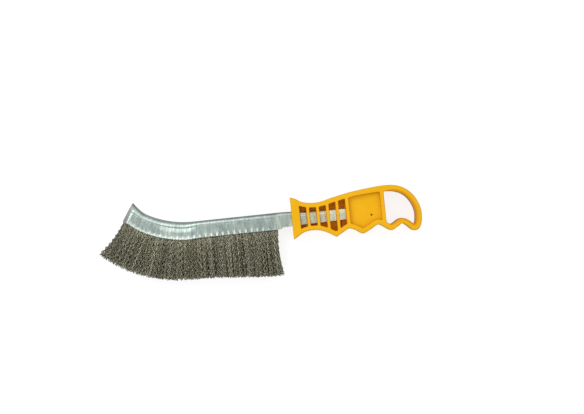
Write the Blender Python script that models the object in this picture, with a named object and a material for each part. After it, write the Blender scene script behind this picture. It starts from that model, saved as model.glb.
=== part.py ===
"""A knife-shaped hand wire brush: crimped steel wires in a folded steel channel, with an open moulded handle.

The brush lies on its side. +X runs from the wire end to the hanging loop, +Y from the wires to the
channel's back, and +Z through the handle's thickness. The origin is on the surface it lies on, under
the middle of the whole brush. Inside the model, lengths are first measured in the brush's own frame:
x = 0 is the handle's front face, y = 0 the tang's axis and z = 0 the plane that halves the brush.
"""

import math
import random

import bmesh
import bpy
from mathutils import Vector
from mathutils.geometry import intersect_line_line_2d

MM = 0.001

# Fits
SEAT_GAP = 0.3 * MM  # left between pieces that touch
CUT_OVERRUN = 2.0 * MM  # how far a cutter runs past what it cuts
CLEAR_SHARE = 0.9999  # of a wall, under which an inner outline has crossed itself
SAME_POINT = 0.05 * MM  # points this near are one

# Handle moulding
HANDLE_LENGTH = 106.8 * MM
HANDLE_THICKNESS = 18.0 * MM
CROWN_HEIGHT = 20.3 * MM  # from the tang's axis up to the top edge's highest place
KNUCKLE_DROP = 19.4 * MM  # from the tang's axis down to the lowest knuckle
EDGE_ROUND = 1.5 * MM
LOOP_ROUND = 0.9 * MM
FRONT_RIM = 3.6 * MM  # the rim's wall at the guard
BACK_RIM = 4.6 * MM  # the rim's wall at the loop's far end
CROWN_RIM_EXTRA = 0.7 * MM  # how much thicker the rim is on the crown
CROWN_RIM_SHARES = (0.78, 0.25)  # of the handle's length: the extra's middle, and its reach to either side
DRAFT = 0.2 * MM  # how much narrower a cell is at its floor
WEB_THICKNESS = 2.4 * MM
GUARD_WALL = 6.8 * MM
WINDOW_COUNT = 5
WINDOW_WIDTH = 5.7 * MM
RIB_WIDTH = 2.4 * MM
SOCKET_WALL = 2.9 * MM  # the wall that the tang's end stands in
POCKET_LENGTH = 26.2 * MM
POCKET_DEPTH = 3.0 * MM
LOOP_BAR = 3.3 * MM
PIN_MARK_RADIUS = 0.8 * MM
PIN_MARK_DEPTH = 0.7 * MM
PIN_MARK_SIDES = 12
PIN_MARK_SHARES = (0.66, -0.14)  # of the pocket's length, and of the crown's height

# Points of the handle's edge, as shares of its length and of the crown's height or the knuckle's drop
TOP_EDGE_SHARES = (
    (0.000, 0.903),
    (0.041, 0.817),
    (0.089, 0.665),
    (0.164, 0.588),
    (0.239, 0.605),
    (0.321, 0.712),
    (0.458, 0.857),
    (0.590, 0.944),
    (0.727, 1.000),
    (0.826, 0.948),
    (0.908, 0.729),
    (0.968, 0.340),
)
END_EDGE_SHARES = (
    (0.998, -0.127),
    (0.996, -0.586),
    (0.975, -0.891),
)
GRIP_EDGE_SHARES = (
    (0.939, -1.000),
    (0.911, -0.926),
    (0.880, -0.754),
    (0.845, -0.640),
    (0.807, -0.756),
    (0.755, -0.885),
    (0.708, -0.730),
    (0.658, -0.592),
    (0.605, -0.737),
    (0.545, -0.897),
    (0.516, -0.862),
    (0.487, -0.748),
    (0.433, -0.635),
    (0.384, -0.763),
)
FIRST_GROOVE_SHARES = (
    (0.330, -0.930),
    (0.264, -0.712),
    (0.206, -0.582),
    (0.145, -0.547),
    (0.084, -0.599),
    (0.035, -0.751),
    (0.000, -0.866),
)
EDGE_STEPS = 4  # straight pieces between two points of the handle's edge
ROUND_TURNS = (0.0, math.radians(30), math.radians(60), math.radians(90))

# Channel, folded from steel sheet
SHEET = 0.9 * MM
WALL_WIDTH = 7.8 * MM  # across the flat walls, outside
BEAD_WIDTH = 8.8 * MM  # across the rounded back, outside
BEAD_RISE = 3.6 * MM  # from the bead's widest place to the back
BEAD_FALL = 1.4 * MM  # from there down to the crease under it
MOUTH_DROP = 7.2 * MM  # from the tang's axis down to the lips
HEEL_DEPTH = 14.0 * MM
BEND_DEPTH = 13.9 * MM
TIP_DEPTH = 17.0 * MM  # at the end, which the pinch makes taller
NECK_LENGTH = 9.4 * MM  # bare channel between the handle and the lips
STRAIGHT_LENGTH = 73.2 * MM
BEND_RADIUS = 90.0 * MM  # of the line of the lips
BEND_ANGLE = math.radians(39.8)
PINCH_LENGTH = 2.4 * MM  # of the end, whose walls are pressed together
PINCH_SHARES = (0.35, 0.70)  # of the width at the lips and at the back, that the pinch takes away
TIP_RISE_LENGTH = 15.0 * MM  # over which the back rises to its corner at the tip
TIP_RISE_POWER = 1.3  # how the rise steepens towards the corner
END_LEAN = 0.8 * MM  # how far the back's corner stands out past the end of the lips
CRIMP_PITCH = 4.8 * MM
CRIMP_HEIGHT = 5.5 * MM
CRIMP_FLAT_SHARE = 0.35  # of a crimp's height, from the lip up, pressed to the full bite
CRIMP_BITE = 0.5 * MM
BEAD_ANGLES = (math.radians(35), math.radians(65))
INNER_BEAD_ANGLE = math.radians(50)

# Tang, the channel's end that stands in the handle
TANG_WIDTH = 6.0 * MM
TANG_BEAD_WIDTH = 6.4 * MM
TANG_END_GAP = 1.6 * MM  # plastic left behind the tang's end
TANG_MOUTH_RISE = 1.6 * MM  # the tang's lips above the channel's, at the handle's face
TANG_END_RISE = 2.7 * MM  # the same at the tang's end
TANG_DEPTH = 12.1 * MM
TANG_END_DEPTH = 10.1 * MM
LIP_STEP_LENGTH = 1.0 * MM
LIP_STEP_RISE = 1.1 * MM  # the notch where the lips end
WIDENING_LENGTH = 5.5 * MM

# Core wire and the wires folded over it
CORE_RADIUS = 1.0 * MM
CORE_DROP = 4.2 * MM  # the core's middle below the channel's back
CORE_END = 1.2 * MM  # how far the core stands out past the wires at the heel
CORE_SIDES = 8
BORE_SIDES = 6
HEEL_MARGIN = 3.3 * MM  # bare lips behind the last wires
TIP_MARGIN = 2.0 * MM  # bare channel past the last wires
BUNDLE_COUNT = 18
ROOT_RECESS = 0.2 * MM
ROOT_TOP_CLEAR = 0.8 * MM  # between the root's top and the sheet over it
ROOT_TOP_SHARE = 0.5  # of the root's width, flat at its top
STRAND_ROWS = 3
STRANDS_IN_ROW = 6
STRAND_RADIUS = 0.45 * MM
STRAND_COVER = 0.2 * MM  # root left beside the outer strands
STRAND_SIDES = 3
STRAND_SPANS = 3  # straight stretches between a strand's kinks
STRAND_SWAY = 0.45 * MM
STRAND_SEAT = 0.8 * MM  # how far a strand is let into its root
HEEL_TRIM = 37.2 * MM  # length of the wires outside the lips, at the handle's end
MIDDLE_TRIM = 33.0 * MM  # where the bend starts
BEND_TRIM = 34.0 * MM  # in the bend's middle
TIP_TRIM = 33.3 * MM  # at the pinched end
TRIM_SPREAD = 0.6 * MM  # how unevenly the ends are cut
TUFT_WIDTH = HANDLE_THICKNESS  # across the wires' ends, which lie on what the handle lies on
TIP_FLARES = (-4.9 * MM, 6.4 * MM)  # lean of the last wires, by the share of their length and its square
HEEL_FLARES = (4.0 * MM, -4.6 * MM)  # the same for the first wires, also towards the tip
FLARE_LENGTH = 12.0 * MM  # of the field, at either end, over which the wires come to lean

# Materials: colour, roughness, metallic
PLASTIC = ((0.86, 0.47, 0.03), 0.42, 0.0)
GALVANISED = ((0.62, 0.68, 0.67), 0.38, 1.0)
WIRE = ((0.30, 0.28, 0.24), 0.45, 1.0)
CORE = ((0.45, 0.45, 0.44), 0.40, 1.0)
SMOOTH_ANGLE = math.radians(32)

BEND_START = NECK_LENGTH + STRAIGHT_LENGTH
CHANNEL_END = BEND_START + BEND_RADIUS * BEND_ANGLE
FIELD_START = NECK_LENGTH + HEEL_MARGIN
FIELD_END = CHANNEL_END - TIP_MARGIN
PINCH_START = CHANNEL_END - PINCH_LENGTH
BUNDLE_PITCH = (FIELD_END - FIELD_START) / BUNDLE_COUNT
SOCKET_START = GUARD_WALL + WINDOW_COUNT * (WINDOW_WIDTH + RIB_WIDTH) - RIB_WIDTH
POCKET_START = SOCKET_START + SOCKET_WALL
LOOP_START = POCKET_START + POCKET_LENGTH + LOOP_BAR
TANG_LENGTH = POCKET_START - TANG_END_GAP - SEAT_GAP


def between(low, high, share):
    """Moves smoothly from low to high while share runs from 0 to 1, and stays there outside."""
    share = min(max(share, 0.0), 1.0)
    return low + (high - low) * share * share * (3 - 2 * share)


def straight(low, high, share):
    """Moves evenly from low to high while share runs from 0 to 1, and stays there outside."""
    return low + (high - low) * min(max(share, 0.0), 1.0)


def material(name, look):
    colour, roughness, metallic = look
    made = bpy.data.materials.new(name)
    made.use_nodes = True
    shader = made.node_tree.nodes["Principled BSDF"]
    shader.inputs["Base Color"].default_value = (*colour, 1.0)
    shader.inputs["Roughness"].default_value = roughness
    shader.inputs["Metallic"].default_value = metallic
    made.diffuse_color = (*colour, 1.0)
    return made


def add_object(name, mesh, frame):
    """Puts a finished bmesh into the scene as an object that belongs to the brush's own frame."""
    bmesh.ops.recalc_face_normals(mesh, faces=mesh.faces)
    data = bpy.data.meshes.new(name)
    mesh.to_mesh(data)
    mesh.free()
    made = bpy.data.objects.new(name, data)
    bpy.context.scene.collection.objects.link(made)
    made.parent = frame
    return made


def add_part(name, mesh, frame, finish):
    made = add_object(name, mesh, frame)
    made.data.materials.append(finish)
    made.data.shade_smooth()
    made.data.set_sharp_from_angle(angle=SMOOTH_ANGLE)
    return made


def add_tool(name, mesh, frame):
    """A cutter, or a shape that another one is joined with: it is no piece by itself."""
    made = add_object(name, mesh, frame)
    made.hide_render = True
    made.display_type = "WIRE"
    return made


def combine(part, tool, operation):
    step = part.modifiers.new(f"{operation.lower()}_{tool.name}", "BOOLEAN")
    step.operation = operation
    step.object = tool
    step.solver = "EXACT"


def add_loft(mesh, rings):
    """Adds to mesh a closed skin over rings of equally many points, with a flat face at either end."""
    made = [[mesh.verts.new(point) for point in ring] for ring in rings]
    size = len(rings[0])
    for ring, following in zip(made, made[1:]):
        for index in range(size):
            onward = (index + 1) % size
            mesh.faces.new((ring[index], ring[onward], following[onward], following[index]))
    mesh.faces.new(made[0])
    mesh.faces.new(made[-1])


def smooth_run(points, steps):
    """A curve through points, in the plane of the brush, as steps straight pieces between each two."""
    ends = [2 * points[0] - points[1], *points, 2 * points[-1] - points[-2]]
    found = []
    for before, start, stop, after in zip(ends, ends[1:], ends[2:], ends[3:]):
        for step in range(steps):
            t = step / steps
            found.append(
                0.5
                * (
                    2 * start
                    + (stop - before) * t
                    + (2 * before - 5 * start + 4 * stop - after) * t * t
                    + (3 * start - before - 3 * stop + after) * t * t * t
                )
            )
    return found + [points[-1]]


def sideways(points, index):
    """From a corner of a closed outline to the same corner of one that lies a unit to its left."""
    arrival = (points[index] - points[index - 1]).normalized()
    departure = (points[(index + 1) % len(points)] - points[index]).normalized()
    run = arrival + departure
    return Vector((-run.y, run.x)) / (1 + arrival.dot(departure))


def shifted(points, distances):
    """Each corner of a closed outline, moved to the left of the outline's run."""
    return [p + sideways(points, i) * d for i, (p, d) in enumerate(zip(points, distances))]


def distance_to(point, points):
    """From point to the nearest place on a closed outline."""
    nearest = math.inf
    for start, stop in zip(points, points[1:] + points[:1]):
        run = stop - start
        share = min(max((point - start).dot(run) / run.length_squared, 0.0), 1.0)
        nearest = min(nearest, (point - start - run * share).length)
    return nearest


def rim_wall(point):
    """The rim's wall, which widens towards the loop and is thickest on the crown."""
    share = point.x / HANDLE_LENGTH
    crown, reach = CROWN_RIM_SHARES
    extra = between(0, CROWN_RIM_EXTRA, 1 - abs(share - crown) / reach) if point.y > 0 else 0
    return straight(FRONT_RIM, BACK_RIM, share) + extra


def drawn_in(points, walls):
    """Each corner of a clockwise outline, moved in by its wall. Those that would cross meet at one point."""
    moved = shifted(points, [-wall for wall in walls])
    clear = [distance_to(p, points) > wall * CLEAR_SHARE for p, wall in zip(moved, walls)]
    found = list(moved)
    size = len(moved)
    for first in range(size):
        if clear[first] or not clear[first - 1]:
            continue
        after = first
        while not clear[after % size]:
            after += 1
        meeting = None
        if after > first + 1:
            meeting = intersect_line_line_2d(
                moved[first - 1], moved[first], moved[(after - 1) % size], moved[after % size]
            )
        for index in range(first, after):
            found[index % size] = meeting or moved[first - 1]
    return found


def distinct(points):
    """A closed outline without the points that are as good as on the one before them."""
    return [point for index, point in enumerate(points) if (point - points[index - 1]).length > SAME_POINT]


def inner_outline(outline):
    """The line that the rim's wall ends at: the handle's edge, moved in by the rim's wall."""
    return distinct(drawn_in(outline, [rim_wall(point) for point in outline]))


def clipped(outline, start, stop):
    """The stretch of an outline between two places along the handle, as a closed outline of its own."""
    sheet = bmesh.new()
    sheet.faces.new([sheet.verts.new((x, y, 0)) for x, y in outline])
    for place, side in ((start, -1), (stop, 1)):
        bmesh.ops.bisect_plane(
            sheet,
            geom=sheet.verts[:] + sheet.edges[:] + sheet.faces[:],
            plane_co=(place, 0, 0),
            plane_no=(side, 0, 0),
            clear_outer=True,
        )
    face = sheet.faces[:][0]
    found = [Vector((vert.co.x, vert.co.y)) for vert in face.verts]
    sheet.free()
    return distinct(found)


def edge_points(shares):
    """Points of the handle's edge: heights over the axis follow the crown, and those under it the knuckle."""
    return [
        Vector((x * HANDLE_LENGTH, y * (CROWN_HEIGHT if y > 0 else KNUCKLE_DROP))) for x, y in shares
    ]


def handle_outline():
    """The handle's edge, clockwise from the front face's upper corner."""
    shares = TOP_EDGE_SHARES + END_EDGE_SHARES + GRIP_EDGE_SHARES + FIRST_GROOVE_SHARES[:1]
    round_the_back = smooth_run(edge_points(shares), EDGE_STEPS)
    first_groove = smooth_run(edge_points(FIRST_GROOVE_SHARES), EDGE_STEPS)
    return round_the_back + first_groove[1:]


def rounded_levels(radius):
    """Steps up through the handle's thickness, as an inset and a height, where both edges are rounded."""
    flat = HANDLE_THICKNESS / 2 - radius
    upper = [(radius * (1 - math.cos(turn)), flat + radius * math.sin(turn)) for turn in ROUND_TURNS]
    return [(inset, -z) for inset, z in reversed(upper)] + upper


def handle_body(outline):
    """The moulding's outer form, with its long edges rounded."""
    rings = []
    for inset, z in rounded_levels(EDGE_ROUND):
        points = drawn_in(outline, [inset] * len(outline)) if inset else outline
        rings.append([Vector((x, y, z)) for x, y in points])
    mesh = bmesh.new()
    add_loft(mesh, rings)
    bmesh.ops.remove_doubles(mesh, verts=mesh.verts, dist=SAME_POINT)
    return mesh


def handle_cells(inside):
    """The windows over the tang, sunk from both faces down to the middle web, and the shallow long pocket."""
    face = HANDLE_THICKNESS / 2
    starts = [GUARD_WALL + index * (WINDOW_WIDTH + RIB_WIDTH) for index in range(WINDOW_COUNT)]
    spans = [(start, start + WINDOW_WIDTH, WEB_THICKNESS / 2) for start in starts]
    spans.append((POCKET_START, POCKET_START + POCKET_LENGTH, face - POCKET_DEPTH))
    mesh = bmesh.new()
    for start, stop, floor in spans:
        cell = clipped(inside, start, stop)
        small = drawn_in(cell, [DRAFT] * len(cell))
        for side in (-1, 1):
            levels = ((small, floor), (cell, face), (cell, face + CUT_OVERRUN))
            add_loft(mesh, [[Vector((x, y, side * z)) for x, y in points] for points, z in levels])
    bmesh.ops.remove_doubles(mesh, verts=mesh.verts, dist=SAME_POINT)
    return mesh


def loop_hole(inside):
    """The hanging hole, right through the handle, with both its rims rounded off."""
    hole = clipped(inside, LOOP_START, HANDLE_LENGTH)
    past = HANDLE_THICKNESS / 2 + CUT_OVERRUN
    levels = [(LOOP_ROUND, -past), *rounded_levels(LOOP_ROUND), (LOOP_ROUND, past)]
    rings = []
    for growth, z in levels:
        rings.append([Vector((x, y, z)) for x, y in shifted(hole, [growth] * len(hole))])
    mesh = bmesh.new()
    add_loft(mesh, rings)
    return mesh


def tang_slot():
    """The slot that the tang stands in, wider than the tang by the seat's gap all round."""
    half = TANG_BEAD_WIDTH / 2 + SEAT_GAP
    rings = []
    for place in (CUT_OVERRUN, -TANG_LENGTH - SEAT_GAP):
        low = lip_rise(place) - MOUTH_DROP - SEAT_GAP
        high = back_height(place) - MOUTH_DROP + SEAT_GAP
        corners = ((low, -half), (low, half), (high, half), (high, -half))
        rings.append([Vector((-place, y, z)) for y, z in corners])
    mesh = bmesh.new()
    add_loft(mesh, rings)
    return mesh


def pin_mark():
    """The small round mark that the mould's pin leaves in the pocket's floor."""
    along, up = PIN_MARK_SHARES
    mesh = bmesh.new()
    bmesh.ops.create_cone(
        mesh,
        cap_ends=True,
        segments=PIN_MARK_SIDES,
        radius1=PIN_MARK_RADIUS,
        radius2=PIN_MARK_RADIUS,
        depth=2 * PIN_MARK_DEPTH,
    )
    floor = HANDLE_THICKNESS / 2 - POCKET_DEPTH
    place = Vector((POCKET_START + along * POCKET_LENGTH, up * CROWN_HEIGHT, floor))
    bmesh.ops.translate(mesh, verts=mesh.verts, vec=place)
    return mesh


def make_handle(frame):
    outline = handle_outline()
    inside = inner_outline(outline)
    handle = add_part("handle", handle_body(outline), frame, material("handle_plastic", PLASTIC))
    for name, mesh in (
        ("cell_cutter", handle_cells(inside)),
        ("loop_cutter", loop_hole(inside)),
        ("tang_slot_cutter", tang_slot()),
        ("pin_mark_cutter", pin_mark()),
    ):
        combine(handle, add_tool(name, mesh, frame), "DIFFERENCE")


def place_at(run):
    """The point on the line of the lips at a distance from the handle's face, and the way to the back."""
    if run <= BEND_START:
        return Vector((-run, -MOUTH_DROP, 0)), Vector((0, 1, 0))
    turn = (run - BEND_START) / BEND_RADIUS
    up = Vector((math.sin(turn), math.cos(turn), 0))
    centre = Vector((-BEND_START, BEND_RADIUS - MOUTH_DROP, 0))
    return centre - up * BEND_RADIUS, up


def along(up):
    """The way along the channel to its tip, where up is the way to its back."""
    return Vector((-up.y, up.x, 0))


def spot(run, height, side):
    """A point by its distance along the channel, above the line of the lips and off the middle plane."""
    mouth, up = place_at(run)
    lean = END_LEAN * max(height, 0) / TIP_DEPTH * between(0, 1, 1 - (CHANNEL_END - run) / TIP_RISE_LENGTH)
    return mouth + up * height + along(up) * lean + Vector((0, 0, side))


def lip_rise(run):
    """How far the lips stand above their line: only the tang's do, because its strip is narrower."""
    if run < 0:
        return straight(TANG_MOUTH_RISE, TANG_END_RISE, -run / TANG_LENGTH)
    if run < NECK_LENGTH - LIP_STEP_LENGTH:
        return straight(TANG_MOUTH_RISE, LIP_STEP_RISE, run / (NECK_LENGTH - LIP_STEP_LENGTH))
    return straight(LIP_STEP_RISE, 0, (run - NECK_LENGTH + LIP_STEP_LENGTH) / LIP_STEP_LENGTH)


def back_height(run):
    """The back above the line of the lips."""
    if run < 0:
        return straight(TANG_DEPTH + TANG_MOUTH_RISE, TANG_END_DEPTH + TANG_END_RISE, -run / TANG_LENGTH)
    if run < NECK_LENGTH:
        return straight(TANG_DEPTH + TANG_MOUTH_RISE, HEEL_DEPTH, run / NECK_LENGTH)
    share = max(1 - (CHANNEL_END - run) / TIP_RISE_LENGTH, 0)
    plain = straight(HEEL_DEPTH, BEND_DEPTH, (run - NECK_LENGTH) / STRAIGHT_LENGTH)
    return plain + (TIP_DEPTH - BEND_DEPTH) * share**TIP_RISE_POWER


def pinched(run, height, half):
    """Half a width of the channel, less what its pressed end takes away at that height."""
    taken = straight(*PINCH_SHARES, height / TIP_DEPTH)
    return half * (1 - taken * between(0, 1, (run - PINCH_START) / PINCH_LENGTH))


def half_widths(run):
    """Half the channel's outer width across its walls and across its bead, before its end is pinched."""
    open_share = (run - NECK_LENGTH + WIDENING_LENGTH / 2) / WIDENING_LENGTH
    wall = between(TANG_WIDTH, WALL_WIDTH, open_share)
    bead = between(TANG_BEAD_WIDTH, BEAD_WIDTH, open_share)
    return wall / 2, bead / 2


def channel_ring(run, bite):
    """The folded sheet's section at a distance along the channel. bite is how far a crimp presses it in."""
    lip = lip_rise(run)
    top = back_height(run)
    wall, bead = half_widths(run)
    widest = top - BEAD_RISE
    flat = lip + CRIMP_HEIGHT * CRIMP_FLAT_SHARE
    walls = [(lip, wall - bite), (flat, wall - bite), (lip + CRIMP_HEIGHT, wall)]
    outer = walls + [(widest - BEAD_FALL, wall), (widest, bead)]
    outer += [(widest + BEAD_RISE * math.sin(a), bead * math.cos(a)) for a in BEAD_ANGLES]
    outer = [(height, pinched(run, height, half)) for height, half in outer]
    inner = [(height, pinched(run, height, half) - SHEET) for height, half in walls + [(widest, bead)]]
    arch = widest + (BEAD_RISE - SHEET) * math.sin(INNER_BEAD_ANGLE)
    inner.append((arch, inner[-1][1] * math.cos(INNER_BEAD_ANGLE)))
    section = outer + [(top, 0)] + [(height, -half) for height, half in reversed(outer)]
    section += [(height, -half) for height, half in inner] + [(top - SHEET, 0)] + inner[::-1]
    return [spot(run, height, side) for height, side in section]


def channel_stations():
    """Distances along the channel, each with its crimp's bite."""
    neck = [-TANG_LENGTH, 0, NECK_LENGTH - WIDENING_LENGTH / 2, NECK_LENGTH - LIP_STEP_LENGTH, NECK_LENGTH]
    stations = [(run, 0) for run in neck]
    stations.append((NECK_LENGTH + WIDENING_LENGTH / 2, 0))
    count = round((PINCH_START - FIELD_START) / CRIMP_PITCH)
    pitch = (PINCH_START - FIELD_START) / count
    for index in range(count):
        start = FIELD_START + index * pitch
        stations += [(start, 0), (start + pitch / 2, CRIMP_BITE)]
    return stations + [(PINCH_START, 0), (PINCH_START + PINCH_LENGTH / 2, 0), (CHANNEL_END, 0)]


def make_channel(frame):
    mesh = bmesh.new()
    add_loft(mesh, [channel_ring(run, bite) for run, bite in channel_stations()])
    add_part("channel", mesh, frame, material("galvanised_sheet", GALVANISED))


def round_ring(run, radius, sides):
    """A ring round the core wire's middle line."""
    middle = min(back_height(run), BEND_DEPTH) - CORE_DROP
    turns = [math.tau * (index + 0.5) / sides for index in range(sides)]
    return [spot(run, middle + radius * math.cos(a), radius * math.sin(a)) for a in turns]


def bundle_bounds():
    return [FIELD_START + index * BUNDLE_PITCH for index in range(BUNDLE_COUNT + 1)]


def make_core_wire(frame):
    """The wire that the brush wires are folded over. It keeps them in the channel."""
    runs = [FIELD_START - CORE_END, *bundle_bounds()[1:-1], PINCH_START - SEAT_GAP]
    mesh = bmesh.new()
    add_loft(mesh, [round_ring(run, CORE_RADIUS, CORE_SIDES) for run in runs])
    add_part("core_wire", mesh, frame, material("core_steel", CORE))


def core_bore(frame):
    """The way through every bundle's root for the core wire, as one long cutter."""
    runs = [FIELD_START - CUT_OVERRUN, *bundle_bounds()[1:-1], PINCH_START]
    radius = (CORE_RADIUS + SEAT_GAP) / math.cos(math.pi / BORE_SIDES)
    mesh = bmesh.new()
    add_loft(mesh, [round_ring(run, radius, BORE_SIDES) for run in runs])
    return add_tool("core_bore_cutter", mesh, frame)


def root_ring(run):
    """The folded wires' root in the channel, one seat's gap from its walls."""
    wall = half_widths(run)[0]
    widest = back_height(run) - BEAD_RISE
    outline = (
        (ROOT_RECESS, wall - CRIMP_BITE),
        (CRIMP_HEIGHT * CRIMP_FLAT_SHARE, wall - CRIMP_BITE),
        (widest, wall),
    )
    half = [(height, pinched(run, height, room) - SHEET - SEAT_GAP) for height, room in outline]
    half.append((back_height(run) - SHEET - ROOT_TOP_CLEAR, half[-1][1] * ROOT_TOP_SHARE))
    section = half + [(height, -side) for height, side in reversed(half)]
    return [spot(run, height, side) for height, side in section]


def trim_length(run):
    """How far the wires stand out of the lips at a distance along the channel."""
    if run < BEND_START:
        return between(HEEL_TRIM, MIDDLE_TRIM, (run - FIELD_START) / (BEND_START - FIELD_START))
    bent = 2 * (run - BEND_START) / (FIELD_END - BEND_START)
    return between(MIDDLE_TRIM, BEND_TRIM, bent) + between(0, TIP_TRIM - BEND_TRIM, bent - 1)


def flare(run, share):
    """How far a wire leans along the channel at a share of its length, near either end of the field."""
    near_tip = between(0, 1, 1 - (FIELD_END - run) / FLARE_LENGTH)
    near_heel = between(0, 1, 1 - (run - FIELD_START) / FLARE_LENGTH)
    linear = near_tip * TIP_FLARES[0] + near_heel * HEEL_FLARES[0]
    square = near_tip * TIP_FLARES[1] + near_heel * HEEL_FLARES[1]
    return linear * share + square * share * share


def add_strand(mesh, run, row, length):
    """One kinked strand, from inside its root to its cut end, leaning outward with its row."""
    mouth, up = place_at(run)
    onward = along(up)
    row_share = 2 * row / (STRAND_ROWS - 1) - 1
    lip = pinched(run, 0, WALL_WIDTH / 2 - CRIMP_BITE) - SHEET
    root_side = row_share * (lip - SEAT_GAP - STRAND_COVER - STRAND_RADIUS)
    tip_side = row_share * (TUFT_WIDTH / 2 - STRAND_RADIUS)
    start = ROOT_RECESS + STRAND_SEAT
    rings = []
    for step in range(STRAND_SPANS + 1):
        share = step / STRAND_SPANS
        inside = 0 < step < STRAND_SPANS
        sway = STRAND_SWAY * (-1) ** (step + row) if inside else 0
        lean = flare(run, share) + sway
        side = root_side + (tip_side - root_side) * share
        height = start - (start + length) * share
        centre = mouth + up * height + onward * lean + Vector((0, 0, side))
        turns = [math.tau * index / STRAND_SIDES for index in range(STRAND_SIDES)]
        rings.append(
            [centre + (onward * math.cos(a) + Vector((0, 0, math.sin(a)))) * STRAND_RADIUS for a in turns]
        )
    add_loft(mesh, rings)


def make_bundle(number, frame, bore, finish, cut):
    """One stretch of the folded wires: a root in the channel, and the strands that leave it."""
    start = FIELD_START + (number - 1) * BUNDLE_PITCH + SEAT_GAP / 2
    stop = FIELD_START + number * BUNDLE_PITCH - SEAT_GAP / 2
    runs = [start, stop]
    if start < PINCH_START < stop:
        runs = [start, PINCH_START, (PINCH_START + stop) / 2, stop]
    root = bmesh.new()
    add_loft(root, [root_ring(run) for run in runs])
    bundle = add_part(f"wire_bundle_{number:02d}", root, frame, finish)
    combine(bundle, bore, "DIFFERENCE")
    strands = bmesh.new()
    for row in range(STRAND_ROWS):
        stagger = (row + 0.5) / STRAND_ROWS / 2 + 0.25
        for column in range(STRANDS_IN_ROW):
            run = start + (stop - start) * (column + stagger) / STRANDS_IN_ROW
            add_strand(strands, run, row, trim_length(run) + cut.uniform(-1, 1) * TRIM_SPREAD)
    combine(bundle, add_tool(f"strands_{number:02d}", strands, frame), "UNION")


def stand_over_origin(frame):
    """Moves the whole brush so that the origin is on the surface under its middle."""
    bpy.context.view_layer.update()
    graph = bpy.context.evaluated_depsgraph_get()
    corners = []
    for part in frame.children:
        if not part.hide_render:
            shape = part.evaluated_get(graph)
            corners += [shape.matrix_world @ vert.co for vert in shape.data.vertices]
    middle = [(min(c[axis] for c in corners) + max(c[axis] for c in corners)) / 2 for axis in (0, 1)]
    frame.location = (-middle[0], -middle[1], HANDLE_THICKNESS / 2)


def build():
    for old in list(bpy.data.objects):
        bpy.data.objects.remove(old)
    frame = bpy.data.objects.new("brush_frame", None)
    bpy.context.scene.collection.objects.link(frame)
    make_handle(frame)
    make_channel(frame)
    make_core_wire(frame)
    bore = core_bore(frame)
    wire = material("brush_wire", WIRE)
    cut = random.Random(7)
    for number in range(1, BUNDLE_COUNT + 1):
        make_bundle(number, frame, bore, wire, cut)
    stand_over_origin(frame)


build()
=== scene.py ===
"""Looks of a knife-shaped hand wire brush: crimped steel wires in a folded channel, on an open handle."""

import math
import random

import bmesh
import bpy
import numpy as np
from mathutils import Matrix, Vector, noise
from mathutils.geometry import intersect_line_line_2d


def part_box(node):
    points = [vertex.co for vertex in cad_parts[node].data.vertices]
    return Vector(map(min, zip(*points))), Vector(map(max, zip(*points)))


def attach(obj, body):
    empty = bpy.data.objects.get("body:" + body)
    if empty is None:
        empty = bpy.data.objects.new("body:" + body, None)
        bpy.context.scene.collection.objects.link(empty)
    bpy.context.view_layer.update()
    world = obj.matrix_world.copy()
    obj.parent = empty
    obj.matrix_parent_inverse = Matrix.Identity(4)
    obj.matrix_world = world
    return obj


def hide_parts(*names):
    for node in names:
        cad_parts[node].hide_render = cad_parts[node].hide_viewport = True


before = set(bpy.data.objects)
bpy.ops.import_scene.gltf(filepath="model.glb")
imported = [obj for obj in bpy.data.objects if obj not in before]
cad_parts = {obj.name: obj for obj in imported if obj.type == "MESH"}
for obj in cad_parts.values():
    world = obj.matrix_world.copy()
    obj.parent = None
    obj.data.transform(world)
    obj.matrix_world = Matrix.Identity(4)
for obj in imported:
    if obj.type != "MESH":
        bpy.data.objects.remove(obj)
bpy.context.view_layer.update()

# The brush's own frame. The brush lies on the flat side of its handle, and is measured from the handle's
# front face, the middle line of the tang and the plane that halves the brush. The handle gives all three.
MM = 0.001
CROWN_HEIGHT = 20.3 * MM
handle_low, handle_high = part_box("handle")
BRUSH_ZERO = Vector((handle_low.x, handle_high.y - CROWN_HEIGHT, (handle_low.z + handle_high.z) / 2))

# Channel. A strip of galvanised sheet is folded along its middle over the wires, so that its back is a round
# bead and its two walls grip the wires. A row of pressed teeth along the lips locks them, the far end is
# pressed narrower, and the slimmer near end is the tang that stands in the handle.
SHEET = 0.9 * MM
WALL_WIDTH = 7.8 * MM
BEAD_WIDTH = 8.8 * MM
BEAD_RISE = 3.6 * MM
BEND_BEAD_RISE = 4.2 * MM
BEAD_FALL = 0.7 * MM
BEAD_FULLNESS = 2.1
BEND_BEAD_FULLNESS = 1.6
MOUTH_DROP = 7.2 * MM
HEEL_DEPTH = 14.0 * MM
BEND_DEPTH = 13.9 * MM
TIP_DEPTH = 17.0 * MM
NECK_LENGTH = 9.4 * MM
STRAIGHT_LENGTH = 73.2 * MM
BEND_RADIUS = 90.0 * MM
BEND_ANGLE = math.radians(39.8)
BEND_EASE = 16.0 * MM
LIP_SAG = 0.95 * MM
SAG_EASE = 20.0 * MM
PINCH_LENGTH = 4.8 * MM
PINCH_FLAT = 2.9 * MM
PINCH_EASE = 0.7 * MM
PINCH_AT_LIPS = 0.10
PINCH_AT_BACK = 0.20
PINCH_POWER = 3
TIP_RISE_LENGTH = 15.0 * MM
TIP_RISE_POWER = 1.3
TIP_BEAD_SHARE = 0.5
END_LEAN = 0.8 * MM
END_CUT = 1.1 * MM
TANG_LENGTH = 45.9 * MM
TANG_WIDTH = 6.0 * MM
TANG_BEAD_WIDTH = 6.4 * MM
TANG_MOUTH_RISE = 1.6 * MM
TANG_END_RISE = 2.7 * MM
TANG_DEPTH = 12.1 * MM
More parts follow.
